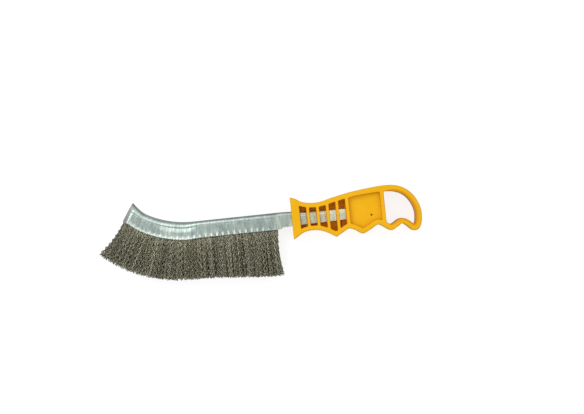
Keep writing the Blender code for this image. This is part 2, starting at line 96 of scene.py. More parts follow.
TANG_END_DEPTH = 10.1 * MM
LIP_STEP_LENGTH = 1.0 * MM
LIP_STEP_RISE = 1.1 * MM
WIDENING_LENGTH = 7.5 * MM
NECK_LEAN = 0.12
NECK_LEAN_START = NECK_LENGTH / 3
NECK_LEAN_FADE = WIDENING_LENGTH / 2
HEEL_MARGIN = 3.3 * MM
TIP_MARGIN = 2.0 * MM
TOOTH_PITCH = 4.78 * MM
TOOTH_HEIGHT = 3.5 * MM
TOOTH_HALF = 1.35 * MM
TOOTH_TOP_HALF = 0.3 * MM
TOOTH_FLANK = 0.25 * MM
TOOTH_SLOPE = 0.36
TOOTH_DEPTH = 1.32 * MM
TOOTH_UNEVENNESS = 0.35
TOOTH_NOISE_STEP = 3.7
TOOTH_NOISE_LANE = 0.5
BEND_TOOTH_SHARE = 0.4
HEEL_TOOTH_LENGTH = 12.0 * MM
LIP_ROUND = 0.18 * SHEET
LIP_POINTS = ((0.0, 0.45 * SHEET), (0.3 * LIP_ROUND, 0.5 * LIP_ROUND))
LIP_CURL = 0.12 * MM
BEND_LIP_CURL = 0.70 * MM
CURL_HEIGHT = 2.6 * MM
BOW_SLOPE = 0.25
BOW_HEIGHT = 3.9 * MM
BOW_EASE = 0.8 * MM
BOW_START_EASE = 7.0 * MM
BOW_FADE_START = 104.0 * MM
BOW_FADE_END = 126.0 * MM
SAME_HEIGHT = 0.001 * MM
CREASE_DEPTH = 0.07 * MM
CREASE_WIDTH = 0.5 * MM
WRINKLE_PITCH = 3.0 * MM
WRINKLE_HEIGHT = 0.16 * MM
WRINKLES_START = 108.0 * MM
WRINKLES_END = 120.0 * MM
DENT_LENGTH = 3.8 * MM
DENT_HEIGHT = 11.0 * MM
DENT_DEPTH = 0.28 * MM
BEND_DENT_DEPTH = 0.10 * MM
STATION_STEP = 0.32 * MM
TANG_STATIONS = 60
PINCH_STATIONS = 20
WALL_LEVELS = 13
WALL_CROWDING = 1.15
CREASE_LEVELS = 4
BEAD_LEVELS = 9
INNER_LEVELS = 4
SMOOTH_ANGLE = math.radians(35)
NOISE_SPAN = (0.3, 0.7)
ZINC_TONES = ((0.3, (0.53, 0.65, 0.60)), (0.52, (0.60, 0.71, 0.66)), (0.74, (0.70, 0.79, 0.74)))
CRYSTAL_TONES = ((0.0, (0.90, 0.90, 0.90)), (1.0, (1.0, 1.0, 1.0)))
DRAG_TONES = ((0.35, (0.86, 0.88, 0.88)), (0.65, (1.12, 1.11, 1.11)))
# Darker over the last millimetres of the tip.
DARKER_TIP_TONES = ((0.0, (0.60, 0.56, 0.565)), (0.0145, (0.60, 0.56, 0.565)), (0.022, (0.88, 0.88, 0.88)))
# Darker along the straight towards the handle.
DARKER_NEAR_HANDLE_TONES = (
    (0.18, (1.0, 1.0, 1.0)), (0.33, (1.0, 1.0, 1.0)), (0.53, (0.84, 0.84, 0.84)), (0.67, (0.76, 0.76, 0.76)),
)
# Darker still on the neck. Inside the handle the tang is painted lighter and warmer: painted light and a
# painted orange reflection of the cells round it.
DARK_NECK_PAINTED_LIT_TANG_TONES = (
    (0.7, (0.8, 0.785, 0.77)), (0.765, (0.8, 0.785, 0.77)), (0.79, (1.08, 1.05, 0.98)),
    (0.88, (1.35, 1.25, 1.0)), (0.95, (1.6, 1.5, 1.25)),
)
# Painted highlight: the lips are painted lighter where the teeth and the curl press them in.
LIP_HIGHLIGHT_TINT = (1.5, 1.43, 1.38, 1.0)
ZINC_ROUGHNESS = (0.25, 0.36)
HANDLED_ROUGHNESS = 0.08
BLOTCH_SCALE = 120.0
CRYSTAL_SCALE = 620.0
ROLLER_SCALE = (70.0, 2200.0, 0.0)
ROLLER_RELIEF = 0.04 * MM
ROLLER_STRENGTH = 0.25
DRAG_SCALE = (560.0, 60.0, 0.0)
DRAG_RELIEF = 0.2 * MM

BEND_START = NECK_LENGTH + STRAIGHT_LENGTH
CHANNEL_END = BEND_START + BEND_RADIUS * BEND_ANGLE
FIELD_START = NECK_LENGTH + HEEL_MARGIN
FIELD_END = CHANNEL_END - TIP_MARGIN
PINCH_START = CHANNEL_END - PINCH_LENGTH


def straight(low, high, share):
    """Moves evenly from low to high while share runs from 0 to 1, and stays there outside."""
    return low + (high - low) * min(max(share, 0.0), 1.0)


def between(low, high, share):
    """The same, but leaving low and reaching high smoothly."""
    share = min(max(share, 0.0), 1.0)
    return low + (high - low) * share * share * (3 - 2 * share)


def ramped(reach, ease):
    """Follows reach once it is positive, with a soft start."""
    if abs(reach) < ease:
        return (reach + ease) ** 2 / (4 * ease)
    return max(reach, 0.0)


def place_at(run):
    """The point on the line of the lips at a distance from the handle's face, and the way to the back."""
    if run <= BEND_START:
        return BRUSH_ZERO + Vector((-run, -MOUTH_DROP, 0)), Vector((0, 1, 0))
    turn = (run - BEND_START) / BEND_RADIUS
    up = Vector((math.sin(turn), math.cos(turn), 0))
    centre = BRUSH_ZERO + Vector((-BEND_START, BEND_RADIUS - MOUTH_DROP, 0))
    return centre - up * BEND_RADIUS, up


def spot(run, height, side):
    """A point by its distance along the channel, above the line of the lips and off the middle plane."""
    mouth, up = place_at(run)
    onward = Vector((-up.y, up.x, 0))
    lean = straight(-END_CUT, END_LEAN, height / TIP_DEPTH)
    lean *= between(0, 1, 1 - (CHANNEL_END - run) / TIP_RISE_LENGTH)
    return mouth + up * height + onward * lean + Vector((0, 0, side))


def bent_share(run):
    """0 on the straight and 1 in the bend."""
    return between(0, 1, (run - BEND_START) / BEND_EASE + 0.5)


def lip_rise(run):
    """How far the lips stand above their line: more on the tang, and less where the bend draws them down."""
    if run < 0:
        return straight(TANG_MOUTH_RISE, TANG_END_RISE, -run / TANG_LENGTH)
    if run < NECK_LENGTH - LIP_STEP_LENGTH:
        return straight(TANG_MOUTH_RISE, LIP_STEP_RISE, run / (NECK_LENGTH - LIP_STEP_LENGTH))
    sag = LIP_SAG * bent_share(run) * between(0, 1, (CHANNEL_END - run) / SAG_EASE)
    return between(LIP_STEP_RISE, 0, (run - NECK_LENGTH + LIP_STEP_LENGTH) / LIP_STEP_LENGTH) - sag


def tip_rise(run):
    """How far the back stands over its plain height towards the tip."""
    share = max(1 - (CHANNEL_END - run) / TIP_RISE_LENGTH, 0)
    return (TIP_DEPTH - BEND_DEPTH) * share**TIP_RISE_POWER


def back_height(run):
    """The back above the line of the lips."""
    if run < 0:
        return straight(TANG_DEPTH + TANG_MOUTH_RISE, TANG_END_DEPTH + TANG_END_RISE, -run / TANG_LENGTH)
    if run < NECK_LENGTH:
        return between(TANG_DEPTH + TANG_MOUTH_RISE, HEEL_DEPTH, run / NECK_LENGTH)
    return straight(HEEL_DEPTH, BEND_DEPTH, (run - NECK_LENGTH) / STRAIGHT_LENGTH) + tip_rise(run)


def bead_rise(run):
    """From the bead's widest place to the back. The bead grows taller in the bend, and again at the tip."""
    return straight(BEAD_RISE, BEND_BEAD_RISE, bent_share(run)) + tip_rise(run) * TIP_BEAD_SHARE


def half_widths(run):
    """Half the outer width across the walls and across the bead, before the end is pinched."""
    open_share = (run - NECK_LENGTH) / WIDENING_LENGTH
    wall = between(TANG_WIDTH, WALL_WIDTH, open_share)
    bead = between(TANG_BEAD_WIDTH, BEAD_WIDTH, open_share)
    return wall / 2, bead / 2


def pinched(run, height, half):
    """Half a width of the channel, less what its pressed end takes away at that height."""
    share = straight(0, 1, height / TIP_DEPTH) ** PINCH_POWER
    taken = PINCH_AT_LIPS + (PINCH_AT_BACK - PINCH_AT_LIPS) * share
    slope = ramped(run - PINCH_START, PINCH_EASE) - ramped(run - CHANNEL_END + PINCH_FLAT, PINCH_EASE)
    return half * (1 - taken * slope / (PINCH_LENGTH - PINCH_FLAT))


def pressed_teeth(run, rise):
    """How far a wall is pushed in at its lip, by the teeth of the press and by the curl of the edge."""
    if not FIELD_START < run < PINCH_START:
        return 0.0
    number = math.floor((run - FIELD_START) / TOOTH_PITCH)
    middle = FIELD_START + (number + 0.5) * TOOTH_PITCH
    place = Vector((number * TOOTH_NOISE_STEP, TOOTH_NOISE_LANE, TOOTH_NOISE_LANE))
    size = 1 + TOOTH_UNEVENNESS * noise.noise(place)
    size *= straight(0, 1, (middle - FIELD_START) / HEEL_TOOTH_LENGTH)
    reach = max(TOOTH_HEIGHT * size - rise, 0.0)
    half = straight(TOOTH_TOP_HALF, TOOTH_HALF, reach / TOOTH_HEIGHT)
    wide = straight(0, 1, (half - abs(run - middle)) / TOOTH_FLANK + 0.5)
    tooth = min(TOOTH_SLOPE * reach, TOOTH_DEPTH) * wide * straight(1, BEND_TOOTH_SHARE, bent_share(run))
    curl = straight(LIP_CURL, BEND_LIP_CURL, bent_share(run)) * straight(1, 0, rise / CURL_HEIGHT) ** 2
    fade = straight(0, 1, (run - FIELD_START) / TOOTH_FLANK) * between(0, 1, (PINCH_START - run) / TOOTH_HALF)
    return fade * (tooth + curl)


def bow_share(run):
    """1 where the bend starts and has drawn the walls in under the bead, down to 0 towards the tip."""
    started = between(0, 1, (run - BEND_START) / BOW_START_EASE + 0.5)
    return started * between(1, 0, (run - BOW_FADE_START) / (BOW_FADE_END - BOW_FADE_START))


def bowed(run, fall):
    """How far a wall stands in under the crease."""
    return BOW_SLOPE * bow_share(run) * ramped(BOW_HEIGHT - fall, BOW_EASE)


def neck_lean(run, fall):
    """How far the narrow neck's walls lean in, since nothing holds them apart."""
    share = between(0, 1, run / NECK_LEAN_START) * between(1, 0, (run - NECK_LENGTH) / NECK_LEAN_FADE)
    return NECK_LEAN * share * max(fall, 0.0)


def pressed_in(run, rise, fall):
    """All that a wall stands in by, at a height over its lip and a distance under the crease."""
    return pressed_teeth(run, rise) + bowed(run, fall) + neck_lean(run, fall)


def dents(run, height, side):
    """Soft unevenness of hand-bent sheet."""
    place = Vector((run / DENT_LENGTH, height / DENT_HEIGHT, side))
    return straight(DENT_DEPTH, BEND_DENT_DEPTH, bent_share(run)) * noise.noise(place)


def wrinkles(run):
    """The small folds that the back is squeezed into where the channel starts to bend."""
    share = (run - WRINKLES_START) / (WRINKLES_END - WRINKLES_START)
    if not 0 < share < 1:
        return 0.0
    fold = math.cos(math.tau * (run - WRINKLES_START) / WRINKLE_PITCH)
    return WRINKLE_HEIGHT * math.sin(math.pi * share) * fold


def outer_profile(run, side):
    """Heights and half widths of one outer side, from the lip round to just under the back's middle."""
    lip = lip_rise(run)
    top = back_height(run) + wrinkles(run)
    wall, bead = half_widths(run)
    rise_of_bead = bead_rise(run)
    widest = top - rise_of_bead
    crease = widest - BEAD_FALL
    power = 2 / straight(BEAD_FULLNESS, BEND_BEAD_FULLNESS, bent_share(run))
    found = [(lip + up, wall - inward) for up, inward in LIP_POINTS]
    for level in range(WALL_LEVELS):
        share = (level / WALL_LEVELS) ** WALL_CROWDING
        found.append((lip + LIP_ROUND + (crease - lip - LIP_ROUND) * share, wall))
    for level in range(CREASE_LEVELS):
        share = level / CREASE_LEVELS
        swell = between(wall, bead, share) - CREASE_DEPTH * between(1, 0, share * BEAD_FALL / CREASE_WIDTH)
        found.append((crease + BEAD_FALL * share, swell))
    for level in range(BEAD_LEVELS):
        turn = math.pi / 2 * level / BEAD_LEVELS
        up, out = math.sin(turn) ** power, math.cos(turn) ** power
        found.append((widest + rise_of_bead * up, bead * out))
    section = []
    for height, half in found:
        rise = height - lip
        if height < crease + SAME_HEIGHT:
            half -= pressed_in(run, rise, crease - height)
        under_bead = between(1, 0, (height - crease) / BEAD_FALL)
        half += dents(run, height, side) * between(0, 1, rise / TOOTH_HEIGHT) * under_bead
        section.append((height, pinched(run, height, half)))
    return section + [(top, 0.0)] if side > 0 else section


def inner_profile(run):
    """The same for the hollow inside, one sheet in from the outer surface."""
    lip = lip_rise(run)
    top = back_height(run)
    wall, bead = half_widths(run)
    widest = top - bead_rise(run)
    crease = widest - BEAD_FALL
    found = []
    for level in range(INNER_LEVELS + 1):
        height = lip + (crease - lip) * level / INNER_LEVELS
        half = wall - pressed_in(run, height - lip, crease - height)
        found.append((height, pinched(run, height, half) - SHEET))
    for level in range(INNER_LEVELS):
        turn = math.pi / 2 * level / INNER_LEVELS
        room = pinched(run, widest, bead) - SHEET
        found.append((widest + (bead_rise(run) - SHEET) * math.sin(turn), room * math.cos(turn)))
    return found + [(top - SHEET, 0.0)]


def channel_section(run):
    """The whole folded section as heights and sides, round the outside and back through the hollow."""
    near = outer_profile(run, 1)
    far = [(height, -half) for height, half in reversed(outer_profile(run, -1))]
    hollow = inner_profile(run)
    hollow_far = [(height, -half) for height, half in hollow[:-1]]
    return near + far + hollow_far + hollow[::-1]


def add_mesh(name, mesh, finish):
    """Puts a finished bmesh into the scene, smooth but for its real edges."""
    bmesh.ops.recalc_face_normals(mesh, faces=mesh.faces)
    data = bpy.data.meshes.new(name)
    mesh.to_mesh(data)
    mesh.free()
    data.materials.append(finish)
    data.shade_smooth()
    data.set_sharp_from_angle(angle=SMOOTH_ANGLE)
    made = bpy.data.objects.new(name, data)
    bpy.context.scene.collection.objects.link(made)
    return made


def add_loft(mesh, rings):
    """Adds to mesh a closed skin over rings of equally many points, with a flat face at either end."""
    made = [[mesh.verts.new(point) for point in ring] for ring in rings]
    size = len(rings[0])
    for ring, following in zip(made, made[1:]):
        for index in range(size):
            onward = (index + 1) % size
            mesh.faces.new((ring[index], ring[onward], following[onward], following[index]))
    mesh.faces.new(made[0])
    mesh.faces.new(made[-1])


def new_finish(name, roughness, metallic):
    """A material, with a call that adds a node to it and one that joins two sockets."""
    finish = bpy.data.materials.new(name)
    finish.use_nodes = True
    nodes = finish.node_tree.nodes
    shader = nodes["Principled BSDF"]
    shader.inputs["Roughness"].default_value = roughness
    shader.inputs["Metallic"].default_value = metallic

    def add(kind, **settings):
        made = nodes.new(kind)
        for key, value in settings.items():
            if key in made.inputs:
                made.inputs[key].default_value = value
            else:
                setattr(made, key, value)
        return made

    return finish, shader, add, finish.node_tree.links.new


def add_ramp(add, stops):
    """A colour ramp through (place, colour) stops."""
    ramp = add("ShaderNodeValToRGB")
    ramp.color_ramp.elements[0].position, ramp.color_ramp.elements[-1].position = stops[0][0], stops[-1][0]
    for place, _ in stops[1:-1]:
        ramp.color_ramp.elements.new(place)
    for element, (_, colour) in zip(ramp.color_ramp.elements, stops):
        element.color = (*colour, 1.0)
    return ramp


def add_range(add, span, onto):
    """A node that carries the values of one span over to another."""
    carried = add("ShaderNodeMapRange")
    for key, value in zip(("From Min", "From Max", "To Min", "To Max"), (*span, *onto)):
        carried.inputs[key].default_value = value
    return carried


def multiplied(add, join, first, second):
    """The product of two colours, as sockets."""
    product = add("ShaderNodeMix", data_type="RGBA", blend_type="MULTIPLY")
    product.inputs["Factor"].default_value = 1.0
    join(first, product.inputs["A"])
    join(second, product.inputs["B"])
    return product.outputs["Result"]


def tinted(add, join, colour, tint, share):
    """A colour that turns towards its product with a tint as share rises."""
    mixed = add("ShaderNodeMix", data_type="RGBA", blend_type="MULTIPLY")
    mixed.inputs["B"].default_value = tint
    join(share, mixed.inputs["Factor"])
    join(colour, mixed.inputs["A"])
    return mixed.outputs["Result"]


def galvanised_sheet():
    """Zinc on rolled steel, with crystals, dull blotches, roller marks along it and drag marks across it."""
    finish, shader, add, join = new_finish("galvanised_sheet", roughness=0.3, metallic=1.0)
    place = add("ShaderNodeTexCoord").outputs["Object"]
    strip = add("ShaderNodeAttribute", attribute_name="place_on_strip").outputs["Vector"]
    blotches = add("ShaderNodeTexNoise", Scale=BLOTCH_SCALE, Detail=4.0, Roughness=0.6)
    crystals = add("ShaderNodeTexVoronoi", Scale=CRYSTAL_SCALE, Randomness=1.0)
    rolled = add("ShaderNodeMapping")
    rolled.inputs["Scale"].default_value = ROLLER_SCALE
    marks = add("ShaderNodeTexNoise", Scale=1.0, Detail=3.0, Roughness=0.7)
    dragged = add("ShaderNodeMapping")
    dragged.inputs["Scale"].default_value = DRAG_SCALE
    drags = add("ShaderNodeTexNoise", Scale=1.0, Detail=2.0, Roughness=0.6)
    join(place, blotches.inputs["Vector"])
    join(place, crystals.inputs["Vector"])
    join(strip, rolled.inputs["Vector"])
    join(rolled.outputs["Vector"], marks.inputs["Vector"])
    join(strip, dragged.inputs["Vector"])
    join(dragged.outputs["Vector"], drags.inputs["Vector"])
    zinc = add_ramp(add, ZINC_TONES)
    join(blotches.outputs["Fac"], zinc.inputs["Fac"])
    flecks = add_ramp(add, CRYSTAL_TONES)
    join(crystals.outputs["Color"], flecks.inputs["Fac"])
    streaks = add_ramp(add, DRAG_TONES)
    join(drags.outputs["Fac"], streaks.inputs["Fac"])
    streaked = multiplied(add, join, flecks.outputs["Color"], streaks.outputs["Color"])
    colour = multiplied(add, join, zinc.outputs["Color"], streaked)
    along = add("ShaderNodeSeparateXYZ")
    join(strip, along.inputs["Vector"])
    # Tones along the strip: darker at the tip and towards the handle, and painted light on the tang inside
    # the handle.
    from_tip = add_range(add, (CHANNEL_END, -TANG_LENGTH), (0.0, 1.0))
    join(along.outputs["X"], from_tip.inputs["Value"])
    tones_and_painted_light = add_ramp(add, DARKER_TIP_TONES + DARKER_NEAR_HANDLE_TONES + DARK_NECK_PAINTED_LIT_TANG_TONES)
    join(from_tip.outputs["Result"], tones_and_painted_light.inputs["Fac"])
    kept = multiplied(add, join, colour, tones_and_painted_light.outputs["Color"])
    # Painted highlight on the pressed lips and teeth.
    lip_highlight = add_range(add, (LIP_CURL, TOOTH_SLOPE * TOOTH_HEIGHT / 2), (0.0, 1.0))
    join(along.outputs["Z"], lip_highlight.inputs["Value"])
    join(tinted(add, join, kept, LIP_HIGHLIGHT_TINT, lip_highlight.outputs["Result"]), shader.inputs["Base Color"])
    dullness = add_range(add, NOISE_SPAN, ZINC_ROUGHNESS)
    join(blotches.outputs["Fac"], dullness.inputs["Value"])
    touched = add_range(add, (BEND_START, 2 * NECK_LENGTH), (0.0, HANDLED_ROUGHNESS))
    join(along.outputs["X"], touched.inputs["Value"])
    matted = add("ShaderNodeMath", operation="ADD")
    join(dullness.outputs["Result"], matted.inputs[0])
    join(touched.outputs["Result"], matted.inputs[1])
    join(matted.outputs["Value"], shader.inputs["Roughness"])
    roller_relief = add("ShaderNodeBump", Strength=ROLLER_STRENGTH, Distance=ROLLER_RELIEF)
    join(marks.outputs["Fac"], roller_relief.inputs["Height"])
    drag_relief = add("ShaderNodeBump", Strength=1.0, Distance=DRAG_RELIEF)
    join(drags.outputs["Fac"], drag_relief.inputs["Height"])
    join(roller_relief.outputs["Normal"], drag_relief.inputs["Normal"])
    join(drag_relief.outputs["Normal"], shader.inputs["Normal"])
    return finish


tang_runs = np.linspace(-TANG_LENGTH, 0, TANG_STATIONS)[:-1]
strip_runs = np.linspace(0, PINCH_START, round(PINCH_START / STATION_STEP))[:-1]
pinch_runs = np.linspace(PINCH_START, CHANNEL_END, PINCH_STATIONS)
channel_mesh = bmesh.new()
channel_rings, strip_places = [], []
for run in map(float, (*tang_runs, *strip_runs, *pinch_runs)):
    section = channel_section(run)
    channel_rings.append([spot(run, height, side) for height, side in section])
    strip_places += [(run, height, pressed_teeth(run, height - lip_rise(run))) for height, side in section]
add_loft(channel_mesh, channel_rings)
channel = add_mesh("folded_channel", channel_mesh, galvanised_sheet())
strip_attribute = channel.data.attributes.new("place_on_strip", "FLOAT_VECTOR", "POINT")
strip_attribute.data.foreach_set("vector", np.array(strip_places).ravel())
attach(channel, "root")
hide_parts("channel")

# Core wire. A length of drawn steel wire lies along the channel's back, bent with it, and every brush wire is
# folded over it. The lips can't let go of the wires while it is there.
CORE_RADIUS = 1.0 * MM
CORE_DROP = 4.2 * MM
CORE_END = 1.2 * MM
CORE_SIDES = 20
CORE_STEPS = 60
DIE_LINE_SCALE = (90.0, 1800.0, 1800.0)
DIE_LINE_RELIEF = 0.03 * MM
DIE_LINE_STRENGTH = 0.2
DRAWN_TONES = ((0.35, (0.30, 0.30, 0.29)), (0.65, (0.52, 0.52, 0.51)))


def core_height(run):
    """The core wire's middle above the line of the lips."""
    return min(back_height(run), BEND_DEPTH) - CORE_DROP


def drawn_steel():
    """Bright wire with the fine lengthwise lines of the drawing die."""
    finish, shader, add, join = new_finish("drawn_steel", roughness=0.32, metallic=1.0)
    mapping = add("ShaderNodeMapping")
    mapping.inputs["Scale"].default_value = DIE_LINE_SCALE
    join(add("ShaderNodeTexCoord").outputs["Object"], mapping.inputs["Vector"])
    lines = add("ShaderNodeTexNoise", Scale=1.0, Detail=3.0)
    join(mapping.outputs["Vector"], lines.inputs["Vector"])
    steel = add_ramp(add, DRAWN_TONES)
    join(lines.outputs["Fac"], steel.inputs["Fac"])
    join(steel.outputs["Color"], shader.inputs["Base Color"])
    relief = add("ShaderNodeBump", Strength=DIE_LINE_STRENGTH, Distance=DIE_LINE_RELIEF)
    join(lines.outputs["Fac"], relief.inputs["Height"])
    join(relief.outputs["Normal"], shader.inputs["Normal"])
    return finish


core_turns = [math.tau * index / CORE_SIDES for index in range(CORE_SIDES)]
core_rings = []
for run in map(float, np.linspace(FIELD_START - CORE_END, PINCH_START, CORE_STEPS)):
    middle = core_height(run)
    ring = [(middle + CORE_RADIUS * math.cos(turn), CORE_RADIUS * math.sin(turn)) for turn in core_turns]
    core_rings.append([spot(run, height, side) for height, side in ring])
core_mesh = bmesh.new()
add_loft(core_mesh, core_rings)
core = add_mesh("core_rod", core_mesh, drawn_steel())
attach(core, "root")
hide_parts("core_wire")

# Brush wires. Each is a length of crimped steel wire, bent double over the core wire so that both its halves
# stand out of the channel. They lie in layers, in small locks whose crimps have nested into each other, and
# are trimmed to one line after the pressing.
BUNDLE_COUNT = 18
LOCKS_IN_BUNDLE = 6
WIRES_IN_LOCK = 2
WIRE_RADIUS = 0.23 * MM
WIRE_ROOM = 0.29 * MM
WIRE_SIDES = 4
LOCK_SPACING = 0.34 * MM
LAYER_RADII = (1.42 * MM, 1.7 * MM, 2.0 * MM, 2.3 * MM, 2.55 * MM)
MOUTH_HALF = 1.24 * MM
TUFT_HALF = 8.0 * MM
TUFT_CORE = 0.6 * MM
TUFT_LIMIT = 8.6 * MM
CRIMP_LENGTH = 4.9 * MM
CRIMP_STRETCH = (0.8, 1.2)
CRIMP_SWAY = 0.7 * MM
CRIMP_IN_CHANNEL = 0.15
CRIMP_SAMPLES = 9
PHASE_SPREAD = 1.1
PLANE_SPREAD = 0.8
LAYER_SPREAD = 0.15 * MM
TUFT_SPREAD = 0.4 * MM
LOCK_DRIFT = 0.8 * MM
WIRE_DRIFT = 0.25 * MM
DRIFT_POWER = 1.6
OPENING_RATE = 4
HEEL_TRIM = 37.2 * MM
MIDDLE_TRIM = 33.0 * MM
BEND_TRIM = 34.0 * MM
TIP_TRIM = 33.3 * MM
TRIM_SPREAD = 1.2 * MM
STRAY_SHARE = 0.05
STRAY_DRIFT = 2.0 * MM
TIP_FLARES = (-4.9 * MM, 6.4 * MM)
HEEL_FLARES = (4.0 * MM, -4.6 * MM)
FLARE_LENGTH = 12.0 * MM
FOLD_STEPS = 6
DRAW_SEED = 11
LOCK_TONE_SHARE = 0.4
CAST_TONES = ((0.35, (0.34, 0.335, 0.245)), (0.65, (0.352, 0.335, 0.242)))
# Painted glints and painted shade: random bright and dark stretches along each wire.
GLINT_AND_SHADE_TONES = ((0.32, (0.12, 0.12, 0.12)), (0.68, (1.55, 1.55, 1.55)))
GLINT_AND_SHADE_SHARE = 0.75
CAST_SCALE = 110.0
GLINT_AND_SHADE_SCALE = (90.0, 0.0, 800.0)
MILL_SCALE_SIZE = 1500.0
WIRE_ROUGHNESS = (0.24, 0.42)


def trim_length(run):
    """How far the wires stand out of the lips."""
    if run < BEND_START:
        return between(HEEL_TRIM, MIDDLE_TRIM, (run - FIELD_START) / (BEND_START - FIELD_START))
    bent = 2 * (run - BEND_START) / (FIELD_END - BEND_START)
    return between(MIDDLE_TRIM, BEND_TRIM, bent) + between(0, TIP_TRIM - BEND_TRIM, bent - 1)


def draw_lock(draw):
    """What the wires of one lock share, on either side of the core: their crimps, and where they lean."""
    return [
        {
            "phase": draw.uniform(0, math.tau),
            "plane": draw.gauss(0, PLANE_SPREAD),
            "pitch": CRIMP_LENGTH * draw.uniform(*CRIMP_STRETCH),
            "drift": draw.gauss(0, LOCK_DRIFT),
            "tone": draw.random(),
        }
        for side in (-1, 1)
    ]


def folded_radius(run, radius):
    """Half the width of a wire's fold, which is less where the walls leave less room for it."""
    room = pinched(run, core_height(run), half_widths(run)[0] - bowed(run, 0)) - SHEET - WIRE_ROOM
    return max(radius * min(room / (WALL_WIDTH / 2 - SHEET - WIRE_ROOM), 1), CORE_RADIUS + WIRE_ROOM)


def tuft_spread(radius):
    """How far off the middle plane a wire's cut end stands. The innermost layer closes the tuft's middle."""
    return straight(TUFT_CORE, TUFT_HALF, (radius - LAYER_RADII[0]) / (LAYER_RADII[-1] - LAYER_RADII[0]))


def wire_half(run, radius, side, lock, draw):
    """One half of a wire, from the core to its cut end: heights, and offsets along and across the channel."""
    fold_height = core_height(run)
    length = trim_length(run) + draw.uniform(-1, 1) * TRIM_SPREAD
    stray = draw.gauss(0, STRAY_DRIFT) if draw.random() < STRAY_SHARE else 0.0
    whole = length + fold_height
    height = fold_height - whole * np.linspace(0, 1, round(whole / CRIMP_LENGTH * CRIMP_SAMPLES))
    out = np.clip(-height / length, 0, 1)
    sunk = np.clip(height / fold_height, 0, 1)
    turn = math.tau * height / lock["pitch"] + lock["phase"] + draw.gauss(0, PHASE_SPREAD)
    wave = np.sin(turn) * CRIMP_SWAY
    wave *= CRIMP_IN_CHANNEL + (1 - CRIMP_IN_CHANNEL) * (1 - sunk)
    tip_share = between(0, 1, 1 - (FIELD_END - run) / FLARE_LENGTH)
    heel_share = between(0, 1, 1 - (run - FIELD_START) / FLARE_LENGTH)
    drift = lock["drift"] + draw.gauss(0, WIRE_DRIFT) + stray
    sway = drift * out**DRIFT_POWER + tip_share * (TIP_FLARES[0] * out + TIP_FLARES[1] * out**2)
    sway += heel_share * (HEEL_FLARES[0] * out + HEEL_FLARES[1] * out**2)
    spread = tuft_spread(radius) + draw.gauss(0, TUFT_SPREAD)
    grip = pinched(run, 0, MOUTH_HALF * radius / LAYER_RADII[-1])
    radius = folded_radius(run, radius)
    depth = np.where(height > 0, grip + (radius - grip) * sunk, grip + (spread - grip) * out)
    across = side * depth + wave * math.sin(lock["plane"]) * np.clip(out * OPENING_RATE, 0, 1)
    across = np.clip(across, -TUFT_LIMIT, TUFT_LIMIT)
    return height, sway + wave * math.cos(lock["plane"]), across


def wire_line(run, radius, lock, draw):
    """The middle line of one wire, from one cut end over the core to the other."""
    mouth, up = place_at(run)
    onward = np.array((-up.y, up.x, 0.0))
    mouth, up = np.array(mouth), np.array(up)
    halves = []
    for side, shared in zip((-1, 1), lock):
        height, along_run, across = wire_half(run, radius, side, shared, draw)
        points = mouth + np.outer(height, up) + np.outer(along_run, onward)
        points[:, 2] += across
        halves.append(points)
    turns = np.linspace(-math.pi / 2, math.pi / 2, FOLD_STEPS + 2)[1:-1]
    fold = mouth + np.outer(core_height(run) + radius * np.cos(turns), up)
    fold[:, 2] += folded_radius(run, radius) * np.sin(turns)
    return np.concatenate((halves[0][::-1], fold, halves[1])), onward


def wire_skin(points, onward):
    """Rings of corners round a wire's middle line."""
    ways = np.gradient(points, axis=0)
    ways /= np.linalg.norm(ways, axis=1)[:, None]
    first = np.cross(np.broadcast_to(onward, ways.shape), ways)
    first /= np.linalg.norm(first, axis=1)[:, None]
    second = np.cross(ways, first)
    turns = np.arange(WIRE_SIDES) * math.tau / WIRE_SIDES
    corners = np.cos(turns)[None, :, None] * first[:, None, :]
    corners += np.sin(turns)[None, :, None] * second[:, None, :]
    return points[:, None, :] + WIRE_RADIUS * corners


def wire_faces(start, rings):
    """Faces of one wire whose corners begin at a number: its sides and its two cut ends."""
    ring = start + np.arange(rings - 1)[:, None] * WIRE_SIDES
    side = np.arange(WIRE_SIDES)[None, :]
    onward = (side + 1) % WIRE_SIDES
    following = ring + WIRE_SIDES
    sides = np.stack((ring + side, ring + onward, following + onward, following + side), axis=-1)
    first = start + np.arange(WIRE_SIDES)[::-1]
    last = start + (rings - 1) * WIRE_SIDES + np.arange(WIRE_SIDES)
    return np.concatenate((sides.reshape(-1, WIRE_SIDES), [first, last]))


